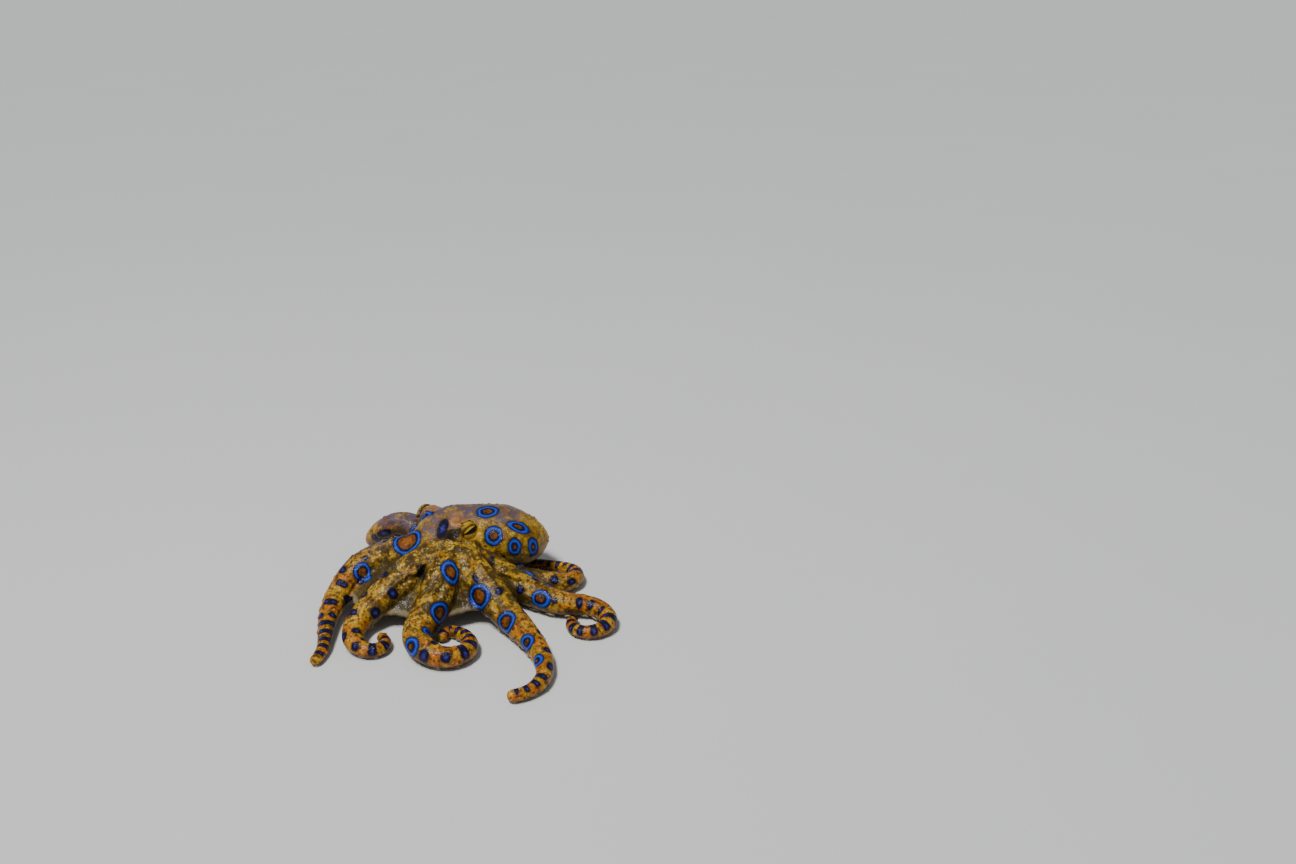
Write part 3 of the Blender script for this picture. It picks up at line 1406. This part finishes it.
@dataclass
class Skin:
    """The whole skin of the animal as one closed surface, coloured by its place on the body.

    Lengths are mm. A fade is where a tone starts and its run from there to full, negative where it
    falls. A fillet with two numbers is its width out on the arms and what the crown adds to it.
    """

    seed: int = 8
    floor: float = 0.03
    crown_radius: float = 5.2
    crown_low: float = 3.8
    crown_high: float = 12.3
    crown_edge: float = 2.6
    crown_fade: Pair = (15.0, -7.0)
    crown_fillet: float = 0.9
    flatten: float = 0.88
    arm_fillet: Pair = (0.12, 0.7)
    body_steps: int = 110
    body_slice: float = 1.1
    body_fillet: Pair = (0.15, 1.5)
    loose_along: Pair = (3.0, 3.0)
    loose_across: Pair = (-1.0, 3.0)
    funnel_steps: int = 24
    funnel_fillet: float = 0.3

    web_start: float = 6.0
    web_dip: float = 3.4
    web_edge: float = 0.9
    web_sag: float = 0.9
    web_full: float = 0.55
    web_root: float = 0.75
    web_raise: float = 0.5
    web_least_sag: float = 0.6
    web_steps: tuple[int, int] = (22, 26)
    web_fillet: Pair = (0.25, 0.5)
    hem_span: Pair = (0.12, 0.88)
    hem_steps: int = 24

    line_steps: int = 14
    line_swell: Pair = (0.45, 0.55)
    groove_round: float = 0.8
    fold_radius: float = 0.5
    fold_fillet: float = 0.5
    mound: float = 2.9
    brow: float = 1.15
    mound_fillet: float = 0.7
    opening: float = 1.62
    opening_out: float = 2.6
    opening_slide: float = 0.62
    opening_drop: float = 0.16
    lid: float = 0.32
    lid_heavy: float = 0.07
    lid_shell: float = 2.36
    lid_half: Triple = (2.05, 1.30, 1.55)
    lid_steps: int = 64
    lid_fillet: float = 0.4
    ball_gap: float = 0.04

    body_fade: Pair = (1.2, -1.2)
    web_fade: Pair = (0.25, 0.8)
    down_fade: Pair = (0.1, 0.6)
    sunk_reach: float = 1.6
    sunk_fade: Pair = (0.92, -0.5)
    sunk_on_body: float = 0.8
    flank_shade: float = 0.92
    flank_fade: Pair = (0.62, -0.7)
    flank_starts: Pair = (6.0, 4.0)
    flank_stops: Pair = (24.0, -8.0)
    hem_fade: Pair = (0.95, -0.4)
    hem_web: Pair = (0.1, 0.5)
    belly: float = 0.6
    belly_fade: Pair = (0.1, -0.6)
    outer_fade: Pair = (14.0, 12.0)
    pale_fade: Pair = (9.0, 6.0)
    crest_level: Pair = (0.70, 0.25)
    crest_height: Pair = (12.6, 1.6)
    far_height: Pair = (8.0, 2.5)
    far_depth: Pair = (6.0, 4.0)
    far_crest: float = 0.9
    lid_fade: Pair = (4.0, -1.2)
    brow_fade: Pair = (2.6, -1.1)

    mark_fade: Pair = (1.3, -0.4)
    wart: float = 0.25
    wart_size: float = 1.25
    wart_share: float = 0.6
    wart_on_web: float = 0.7
    wart_on_mark: float = 0.7
    fold: float = 0.24
    fold_size: float = 1.0
    fold_on_mark: float = 0.6
    fold_length: float = 2.8
    fold_width: float = 0.9
    fold_apart: float = 9.0
    ripples: tuple[Pair, ...] = ((1.3, 0.05), (2.6, 0.07))

    def arm_field(self, arm: Arm) -> Field:
        """Distance to one arm.

        Args:
            arm: The arm.

        Returns:
            The distance field.
        """
        made = Field()
        for row in np.flatnonzero(arm.along <= arm.length - arm.tip):
            made.stamp_ball(arm.centre[row], float(arm.radius[row]), arm.back[row], self.flatten)
        return made

    def web_pairs(self) -> Iterator[tuple[Arm, Arm, float, float]]:
        """Each arm, the next arm round, and how far the web between them reaches along the two."""
        for first, second in zip(ARMS, (*ARMS[1:], ARMS[0])):
            yield first, second, *WEB_REACH[first.name]

    def web_field(self) -> Field:
        """Distance to the webs between neighbouring arms.

        Returns:
            The distance field.
        """
        made = Field()
        across, outwards = self.web_steps
        for first, second, near, far in self.web_pairs():
            for t in np.linspace(0.0, 1.0, across):
                bow = 4 * t * (1 - t)
                reach = near + (far - near) * t
                for out in np.linspace(0.0, 1.0, outwards):
                    s = self.web_start + (reach - self.web_dip * bow - self.web_start) * out
                    a, b = first.index_at(s), second.index_at(s)
                    at = first.centre[a] * (1 - t) + second.centre[b] * t
                    full = (first.radius[a] * (1 - t) + second.radius[b] * t) * self.web_full
                    root = full * self.web_root
                    half = root + (self.web_edge / 2 - root) * smooth(out)
                    sag = self.web_sag * bow * max(out, self.web_least_sag)
                    rise = full * (1 - out * bow) * self.web_raise - sag
                    made.stamp_ball(at + UP * rise, float(half), margin=NARROW)
        return made

    def web_hems(self) -> list[np.ndarray]:
        """Places along the free edges of the webs, in drawing mm.

        Returns:
            The places.
        """
        made = []
        for first, second, near, far in self.web_pairs():
            for t in np.linspace(*self.hem_span, self.hem_steps):
                s = near + (far - near) * t - self.web_dip * 4 * t * (1 - t)
                at = first.centre[first.index_at(s)] * (1 - t) + second.centre[second.index_at(s)] * t
                made.append(at - UP * self.web_sag * 4 * t * (1 - t))
        return made

    def body_rows(self) -> tuple[np.ndarray, np.ndarray]:
        """Sections along head and mantle, and the unit direction at each."""
        rows = catmull_rom(BODY, self.body_steps)
        return rows, unit(np.gradient(rows[:, :3], axis=0))

    def body_field(self) -> Field:
        """Distance to head and mantle, with the mounds of the eyes.

        Returns:
            The distance field.
        """
        made = Field()
        rows, ways = self.body_rows()
        for row, way in zip(rows[1:-1], ways[1:-1]):
            side = unit(np.cross(UP, way))
            axes = np.array([way, side, np.cross(way, side)])
            made.stamp_slice(row[:3], axes, (self.body_slice, row[3], row[4]))
        mounds = Field()
        for eye in EYES:
            mounds.stamp_ball(np.array(eye.mound), self.mound)
            mounds.stamp_ball(np.array(eye.brow), self.brow)
        made.blend(mounds, self.mound_fillet)
        return made

    def crown_values(self) -> np.ndarray:
        """Distance to the round core that the arms leave, over the whole grid.

        Returns:
            The distances in mm.
        """
        x, y, z = Field.grid()
        out = np.hypot(x - MOUTH[0], y - MOUTH[1]) - self.crown_radius + self.crown_edge
        middle = (self.crown_low + self.crown_high) / 2
        rise = np.abs(z - middle) - (self.crown_high - self.crown_low) / 2 + self.crown_edge
        away = np.hypot(np.maximum(out, 0), np.maximum(rise, 0)) + np.minimum(np.maximum(out, rise), 0)
        return (away - self.crown_edge).astype(np.float32)

    def funnel_field(self) -> Field:
        """Distance to the funnel.

        Returns:
            The distance field.
        """
        made = Field()
        (start, stop), (root, lip) = FUNNEL_LINE, FUNNEL_RADII
        for share in np.linspace(0.0, 1.0, self.funnel_steps):
            made.stamp_ball(start + (stop - start) * share, root + (lip - root) * share, margin=NARROW)
        return made

    def lines_field(self, lines: Iterable[tuple[float, tuple]]) -> Field:
        """Distance to round forms along lines, each thinner towards its ends.

        Args:
            lines: Pairs of a radius in mm and the points of a line.

        Returns:
            The distance field.
        """
        made = Field()
        ends, middle = self.line_swell
        for radius, points in lines:
            line = catmull_rom(np.array(points), self.line_steps * len(points))
            for share, place in zip(np.linspace(0.0, 1.0, len(line)), line):
                size = radius * (ends + middle * math.sin(math.pi * share))
                made.stamp_ball(place, size, margin=NARROW)
        return made

    def field(self) -> Field:
        """Distance to the whole skin.

        Returns:
            The distance field.
        """
        x, y, z = Field.grid()
        near = fade(np.hypot(x - MOUTH[0], y - MOUTH[1]), *self.crown_fade)
        under_mantle = fade(x, *self.loose_along) * fade(y, *self.loose_across)
        whole = self.arm_field(ARMS[0])
        for arm in ARMS[1:]:
            whole.blend(self.arm_field(arm), self.arm_fillet[0] + self.arm_fillet[1] * near)
        whole.blend(self.web_field(), self.web_fillet[0] + self.web_fillet[1] * near)
        whole.blend(self.crown_values(), self.crown_fillet)
        tight, loose = self.body_fillet
        whole.blend(self.body_field(), tight + loose * near * (1 - under_mantle))
        whole.blend(self.funnel_field(), self.funnel_fillet)
        whole.sink(self.lines_field(GROOVES), self.groove_round)
        whole.blend(self.lines_field((self.fold_radius, fold) for fold in FOLDS), self.fold_fillet)
        for eye in EYES:
            self.open_eye(whole, eye)
        whole.values = np.maximum(whole.values, self.floor - z)
        return whole

    def open_eye(self, whole: Field, eye: EyeSite) -> None:
        """Opens the skin before an eyeball, lays a lid round the opening and clears the ball itself.

        Args:
            whole: The skin so far.
            eye: The eye to open.
        """
        across, over, out = eye.axes(EYE_LEAN)
        for slide in (-self.opening_slide, 0.0, self.opening_slide):
            place = eye.ball + out * self.opening_out + across * slide - over * self.opening_drop
            whole.carve(place, self.opening)
        lids = Field()
        wide, upper, lower = self.lid_half
        for angle in np.linspace(0.0, 2 * np.pi, self.lid_steps, endpoint=False):
            right = wide * math.cos(angle)
            up = (upper if math.sin(angle) > 0 else lower) * math.sin(angle)
            ahead = math.sqrt(self.lid_shell ** 2 - right ** 2 - up ** 2)
            size = self.lid + self.lid_heavy * max(math.sin(angle), 0.0)
            lids.stamp_ball(eye.ball + across * right + over * up + out * ahead, size, margin=NARROW)
        whole.blend(lids, self.lid_fillet)
        whole.carve(eye.ball, EYE_BALL + self.ball_gap)

    def build(self) -> bpy.types.Object:
        """Makes the skin, with its markings and tones stored on it.

        Returns:
            The skin object.
        """
        whole = self.field()
        points, faces = whole.surface()
        made = make_mesh("skin", points, faces)
        normals = np.empty(len(made.data.vertices) * 3, dtype=np.float32)
        made.data.vertices.foreach_get("normal", normals)
        normals = normals.reshape(-1, 3)
        along, apart, lie, flank = self.places(points)
        marks = Markings(points, normals)
        marks.add_all(self.seed)
        body = self.body_share(points)
        web = fade(apart, *self.web_fade) * (1 - body)
        down = fade(-normals[:, 2], *self.down_fade)
        outer = fade(along, *self.outer_fade) * (1 - body)
        room = whole.read(points + normals * self.sunk_reach) / self.sunk_reach
        sunk = fade(room, *self.sunk_fade) * (1 - self.sunk_on_body * body)
        shaded = self.flank_shade * flank * fade(along, *self.flank_starts) * fade(along, *self.flank_stops)
        hollow = np.maximum(sunk, shaded * (1 - body)) * (1 - down)
        pale = np.maximum(web * fade(along, *self.pale_fade), down) * (1 - body)
        set_attribute(made, "mark", np.stack([marks.ring, marks.solid, marks.glow], axis=1))
        set_attribute(made, "cast", np.stack([marks.shade, body, self.crest(points, normals, body)], axis=1))
        set_attribute(made, "tone", np.stack([outer, pale, hollow], axis=1))
        set_attribute(made, "rim", self.rims(points, normals, apart, body))
        marked = fade(np.minimum(marks.ring + 1.0, marks.solid), *self.mark_fade)
        noise = Noise(self.seed)
        warts = noise.dots(points, self.wart_size, self.wart_share) * self.wart
        warts = warts * (1 - self.wart_on_mark * marked) * (1 - self.wart_on_web * web)
        folds = noise.value(lie, self.fold_size) * self.fold * (1 - outer) * (1 - self.fold_on_mark * marked)
        ripple = sum(noise.value(points, size) * height for size, height in self.ripples)
        lift = (warts + folds + ripple) * (1 - down)
        moved = points + normals * lift[:, None] + SHIFT
        moved[:, 2] = np.maximum(moved[:, 2], self.floor)
        made.data.vertices.foreach_set("co", (moved * MM).ravel())
        made.data.update()
        made.data.materials.append(WetSkin().build())
        return made

    def body_share(self, points: np.ndarray) -> np.ndarray:
        """From 0 on the arms to 1 on head and mantle.

        Args:
            points: Points in drawing mm.

        Returns:
            The share of each point.
        """
        rows, _ = self.body_rows()
        best = np.full(len(points), FAR_AWAY)
        for row in rows[::3]:
            away = np.linalg.norm((points - row[:3]) / np.array([1.0, 1.0, row[4] / row[3]]), axis=1)
            best = np.minimum(best, away - row[3])
        return fade(best, *self.body_fade)

    def crest(self, points: np.ndarray, normals: np.ndarray, body: np.ndarray) -> np.ndarray:
        """Dusky top of head and mantle, and of the arms behind them, from 0 to 1.

        Args:
            points: Points in drawing mm.
            normals: Their unit normals.
            body: From 0 on the arms to 1 on head and mantle.

        Returns:
            The tone of each point.
        """
        height, depth = points[:, 2], points[:, 1]
        top = body * fade(normals[:, 2], *self.crest_level) * fade(height, *self.crest_height)
        behind = fade(height, *self.far_height) * fade(depth, *self.far_depth)
        return np.maximum(top, self.far_crest * behind * (1 - body))

    def rims(self, points: np.ndarray, normals: np.ndarray, apart: np.ndarray,
             body: np.ndarray) -> np.ndarray:
        """Tones of the hems, eyelids and brows.

        Args:
            points: Points in drawing mm.
            normals: Their unit normals.
            apart: Their distance outside the nearest arm.
            body: From 0 on the arms to 1 on head and mantle.

        Returns:
            Rows of (hem and pale belly, eyelid, brow), each from 0 to 1.
        """
        hem = fade(distance_to(points, self.web_hems()), *self.hem_fade) * fade(apart, *self.hem_web)
        hem = np.maximum(hem, self.belly * body * fade(normals[:, 2], *self.belly_fade))
        lid = fade(distance_to(points, (eye.ball for eye in EYES)), *self.lid_fade)
        brow = fade(distance_to(points, (np.array(eye.brow) for eye in EYES)), *self.brow_fade)
        return np.stack([hem, lid, brow], axis=1)

    def places(self, points: np.ndarray) -> tuple[np.ndarray, np.ndarray, np.ndarray, np.ndarray]:
        """How far each point lies along its nearest arm and outside it, and its place among the folds.

        Args:
            points: Points in drawing mm.

        Returns:
            Distance along the nearest arm, distance outside it, rows of (folds along, folds
            round, arm) for the noise of the folds, which run along the arm, and how far down its
            flank the point is, from 0 on the back to 1.
        """
        apart = np.full(len(points), FAR_AWAY)
        along = np.zeros(len(points))
        lie = np.zeros((len(points), 3))
        flank = np.zeros(len(points))
        margin, stride, most = 6, 2, 20000
        for number, arm in enumerate(ARMS):
            low, high = arm.centre.min(0) - margin, arm.centre.max(0) + margin
            near = np.flatnonzero(np.all((points > low) & (points < high), axis=1))
            for chunk in np.array_split(near, len(near) // most + 1):
                offset = points[chunk, None, :] - arm.centre[None, ::stride, :]
                away = np.sqrt(dot(offset, offset)) - arm.radius[::stride]
                row = away.argmin(axis=1)
                least = away[np.arange(len(chunk)), row]
                closer = least < apart[chunk]
                mine, row = chunk[closer], row[closer] * stride
                _, left, over = arm.about(points[mine], row)
                apart[mine] = least[closer]
                along[mine] = arm.along[row]
                flank[mine] = fade(over / np.maximum(np.hypot(left, over), SMALL), *self.flank_fade)
                lie[mine, 0] = arm.along[row] / self.fold_length
                lie[mine, 1] = np.arctan2(left, over) * arm.radius[row] / self.fold_width
                lie[mine, 2] = self.fold_apart * number
        return along, apart, lie, flank


@dataclass
class Eye:
    """An eyeball with its slit pupil."""

    site: EyeSite
    rings: int = 40
    sides: int = 80

    def build(self) -> bpy.types.Object:
        """Makes the eyeball.

        Returns:
            The eyeball object.
        """
        polar = np.linspace(0.0, math.pi, self.rings + 1)[1:-1]
        turns = np.linspace(0.0, 2 * math.pi, self.sides, endpoint=False)
        local = [(0, 0, 1)]
        for p in polar:
            local += [(math.sin(p) * math.cos(a), math.sin(p) * math.sin(a), math.cos(p)) for a in turns]
        local = np.array([*local, (0, 0, -1)])
        faces = [(0, 1 + k, 1 + (k + 1) % self.sides) for k in range(self.sides)]
        for ring in range(len(polar) - 1):
            for k in range(self.sides):
                a, b = (1 + ring * self.sides + j for j in (k, (k + 1) % self.sides))
                faces.append((a, a + self.sides, b + self.sides, b))
        last = len(local) - 1
        base = last - self.sides
        faces += [(last, base + (k + 1) % self.sides, base + k) for k in range(self.sides)]
        points = self.site.ball + local @ self.site.axes(EYE_LEAN) * EYE_BALL
        made = make_mesh(self.site.name + "_ball", points, faces)
        set_attribute(made, "gaze", local)
        made.data.materials.append(WetEye().build())
        return made


@dataclass
class Suckers:
    """Two staggered rows of suckers along the oral side of every arm.

    Size, stand and spacing are shares of the arm's radius, and other lengths are mm.
    """

    start: float = 7.5
    stop: float = 0.5
    size: float = 0.40
    stand: float = 0.86
    splay: float = 28.0
    spacing: float = 0.62
    apart: float = 0.12
    tilt: float = 0.12
    sides: int = 12
    seed: int = 5
    # Radius and height of each ring of points of a sucker of unit radius, from its foot to its dimple
    profile: tuple[Pair, ...] = (
        (0.45, -0.7), (0.62, -0.25), (0.92, 0.12), (1.0, 0.3), (0.88, 0.36), (0.62, 0.12), (0.3, -0.05),
    )

    def cup(self) -> bpy.types.Object:
        """A sucker of unit radius, opening along +Z, as a mesh to set out.

        Returns:
            The sucker object.
        """
        sides = self.sides
        points = [(r * math.cos(a), r * math.sin(a), z) for r, z in self.profile
                  for a in np.linspace(0, 2 * math.pi, sides, endpoint=False)]
        faces = [tuple(reversed(range(sides)))]
        for ring in range(len(self.profile) - 1):
            for k in range(sides):
                a, b = ring * sides + k, ring * sides + (k + 1) % sides
                faces.append((a, b, b + sides, a + sides))
        faces.append(tuple(range(len(points) - sides, len(points))))
        mesh = bpy.data.meshes.new("sucker_cup")
        mesh.from_pydata(points, [], faces)
        mesh.polygons.foreach_set("use_smooth", np.ones(len(mesh.polygons), dtype=bool))
        return add_object("sucker_cup", mesh)

    def sites(self) -> tuple[np.ndarray, np.ndarray, np.ndarray]:
        """Where the suckers stand.

        Returns:
            Places in drawing mm, unit directions that they open along, and radii in mm.
        """
        places, ways, sizes = [], [], []
        for arm in ARMS:
            along, row = self.start, 1
            while along < arm.length - self.stop:
                k = int(arm.index_at(along))
                radius = float(arm.radius[k])
                splay = math.radians(self.splay) * row
                way = unit(-arm.back[k] * math.cos(splay) + arm.side[k] * math.sin(splay))
                places.append(arm.centre[k] + way * radius * self.stand)
                ways.append(way)
                sizes.append(radius * self.size)
                along += radius * self.spacing + self.apart
                row = -row
        return np.array(places), np.array(ways), np.array(sizes)

    def tree(self, cup: bpy.types.Object, material: bpy.types.Material) -> bpy.types.NodeTree:
        """Node tree that stands a cup on every point.

        Args:
            cup: The sucker to repeat.
            material: Its finish.

        Returns:
            The geometry node tree.
        """
        tree = bpy.data.node_groups.new("suckers", "GeometryNodeTree")
        for name, way, kind, value in (
            ("Geometry", "INPUT", "NodeSocketGeometry", None),
            ("Cup Size", "INPUT", "NodeSocketFloat", 1.0),
            ("Tilt", "INPUT", "NodeSocketFloat", self.tilt),
            ("Seed", "INPUT", "NodeSocketInt", self.seed),
            ("Geometry", "OUTPUT", "NodeSocketGeometry", None),
        ):
            socket = tree.interface.new_socket(name, in_out=way, socket_type=kind)
            if value is not None:
                socket.default_value = value
        given = add_node(tree, "NodeGroupInput").outputs
        spots = add_node(tree, "GeometryNodeMeshToPoints", {"Mesh": given["Geometry"]})
        span = {0: (-1, -1, -1), 1: (1, 1, 1), "Seed": given["Seed"]}
        jitter = add_node(tree, "FunctionNodeRandomValue", span, data_type="FLOAT_VECTOR")
        way, width = (
            add_node(tree, "GeometryNodeInputNamedAttribute", {"Name": name}, data_type="FLOAT_VECTOR")
            for name in ("way", "width")
        )
        lean = add_node(tree, "ShaderNodeVectorMath", {0: jitter.outputs[0], "Scale": given["Tilt"]},
                        operation="SCALE")
        total = add_node(tree, "ShaderNodeVectorMath", {0: way.outputs["Attribute"], 1: lean.outputs[0]},
                         operation="ADD")
        turn = add_node(tree, "FunctionNodeAlignRotationToVector", {"Vector": total.outputs[0]}, axis="Z")
        scale = add_node(tree, "ShaderNodeVectorMath",
                         {0: width.outputs["Attribute"], "Scale": given["Cup Size"]}, operation="SCALE")
        source = add_node(tree, "GeometryNodeObjectInfo", {"Object": cup})
        placed = add_node(tree, "GeometryNodeInstanceOnPoints", {
            "Points": spots.outputs["Points"], "Instance": source.outputs["Geometry"],
            "Rotation": turn.outputs["Rotation"], "Scale": scale.outputs[0],
        })
        real = add_node(tree, "GeometryNodeRealizeInstances", {"Geometry": placed.outputs["Instances"]})
        finished = add_node(tree, "GeometryNodeSetMaterial",
                            {"Geometry": real.outputs["Geometry"], "Material": material})
        add_node(tree, "NodeGroupOutput", {"Geometry": finished.outputs["Geometry"]})
        return tree

    def build(self) -> bpy.types.Object:
        """Makes all suckers as one mesh.

        Returns:
            The suckers object.
        """
        places, ways, sizes = self.sites()
        seeds = make_mesh("sucker_sites", places, [])
        set_attribute(seeds, "way", ways)
        set_attribute(seeds, "width", np.repeat(sizes[:, None] * MM, 3, axis=1))
        cup = self.cup()
        tree = self.tree(cup, CupSkin().build())
        modifier = seeds.modifiers.new("suckers", "NODES")
        modifier.node_group = tree
        ids = {item.name: item.identifier for item in tree.interface.items_tree if item.in_out == "INPUT"}
        for name, value in (("Cup Size", 1.0), ("Tilt", self.tilt), ("Seed", self.seed)):
            modifier[ids[name]] = value
        depsgraph = bpy.context.evaluated_depsgraph_get()
        mesh = bpy.data.meshes.new_from_object(seeds.evaluated_get(depsgraph))
        bpy.data.objects.remove(seeds)
        bpy.data.objects.remove(cup)
        points = np.empty(len(mesh.vertices) * 3, dtype=np.float32)
        mesh.vertices.foreach_get("co", points)
        points[2::3] = np.maximum(points[2::3], 0.0)
        mesh.vertices.foreach_set("co", points)
        mesh.update()
        return add_object("suckers", mesh)


@dataclass
class Studio:
    """Pale floor, soft lights and the camera, all placed about the drawing's origin in mm."""

    floor_half: float = 8000.0
    floor_roughness: float = 0.75
    floor_patches: float = 60.0
    sun_strength: float = 2.15
    sun_softness: float = 12.0
    sun_way: Triple = (0.34, 0.34, -1.0)
    spark_place: Triple = (-90.0, -60.0, 330.0)
    spark_size: float = 45.0
    spark_watts: float = 0.30
    spark_aim: Triple = (0.0, 0.0, 6.0)
    sky_colour: Triple = (0.9, 0.95, 1.0)
    sky_strength: float = 0.22
    view_distance: float = 250.0
    view_elevation: float = 31.0
    focal_pixels: float = 1250.0
    image_width: float = 1296.0
    sensor_width: float = 36.0
    yaw: float = -9.7936
    pitch: float = -23.448
    nearest_view: float = 10.0

    def floor(self) -> bpy.types.Object:
        """Makes the floor.

        Returns:
            The floor object, marked as stage.
        """
        half = self.floor_half
        corners = np.array([(-half, -half, 0), (half, -half, 0), (half, half, 0), (-half, half, 0)])
        made = make_mesh("floor", corners, [(0, 1, 2, 3)])
        n = Nodes("pale_floor")
        colour = n.mix(n.noise(self.floor_patches), Palette.FLOOR, Palette.FLOOR_WORN)
        made.data.materials.append(n.dress({"Base Color": colour, "Roughness": self.floor_roughness}))
        return made

    def spark(self) -> None:
        """Adds a small square light, for the glint in the eyes and on wet skin."""
        data = bpy.data.lights.new("spark", "AREA")
        data.size = self.spark_size * MM
        data.energy = self.spark_watts
        made = add_object("spark", data)
        place = (np.array(self.spark_place) + SHIFT) * MM
        made.location = place
        made.rotation_euler = aim_rotation(np.array(self.spark_aim) * MM - place)

    def daylight(self) -> None:
        """Adds the main light, even over the whole floor."""
        data = bpy.data.lights.new("daylight", "SUN")
        data.energy = self.sun_strength
        data.angle = math.radians(self.sun_softness)
        add_object("daylight", data).rotation_euler = aim_rotation(np.array(self.sun_way))

    def sky(self) -> None:
        """Adds the faint cool light from all round."""
        world = bpy.data.worlds.new("sky")
        world.use_nodes = True
        background = world.node_tree.nodes["Background"]
        background.inputs["Color"].default_value = (*self.sky_colour, 1.0)
        background.inputs["Strength"].default_value = self.sky_strength
        bpy.context.scene.world = world

    def camera(self) -> None:
        """Adds the camera at the photograph's viewing angle and framing."""
        data = bpy.data.cameras.new("camera")
        data.sensor_width = self.sensor_width
        data.lens = self.focal_pixels / self.image_width * data.sensor_width
        data.clip_start = self.nearest_view * MM
        made = add_object("camera", data)
        rise = math.radians(self.view_elevation)
        spot = np.array([0.0, -math.cos(rise), math.sin(rise)]) * self.view_distance
        made.location = (spot + SHIFT) * MM
        made.rotation_euler = (math.radians(90.0 + self.pitch), 0.0, math.radians(self.yaw))
        bpy.context.scene.camera = made

    def build(self) -> None:
        """Makes the floor, lights, sky and camera."""
        self.floor()
        self.daylight()
        self.spark()
        self.sky()
        self.camera()


def aim_rotation(direction: np.ndarray) -> Triple:
    """Euler angles that turn an object's -Z along a direction."""
    x, y, z = direction / np.linalg.norm(direction)
    return (math.acos(-z), 0.0, math.atan2(y, x) - math.pi / 2)


def main() -> None:
    """Builds the animal and its studio."""
    logging.basicConfig(level=logging.INFO, format="%(name)s: %(message)s")
    nodes = list(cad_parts)
    skin = Skin().build()
    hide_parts(*[name for name in nodes if not name.startswith("eye_")])
    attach(skin, "root")
    log.info("skin: %d faces", len(skin.data.polygons))
    suckers = Suckers().build()
    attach(suckers, "root")
    log.info("suckers: %d faces", len(suckers.data.polygons))
    for site in EYES:
        eye = Eye(site).build()
        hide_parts(site.name)
        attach(eye, "root")
        log.info("%s: %d faces", eye.name, len(eye.data.polygons))
    Studio().build()


if __name__ == "__main__":
    main()
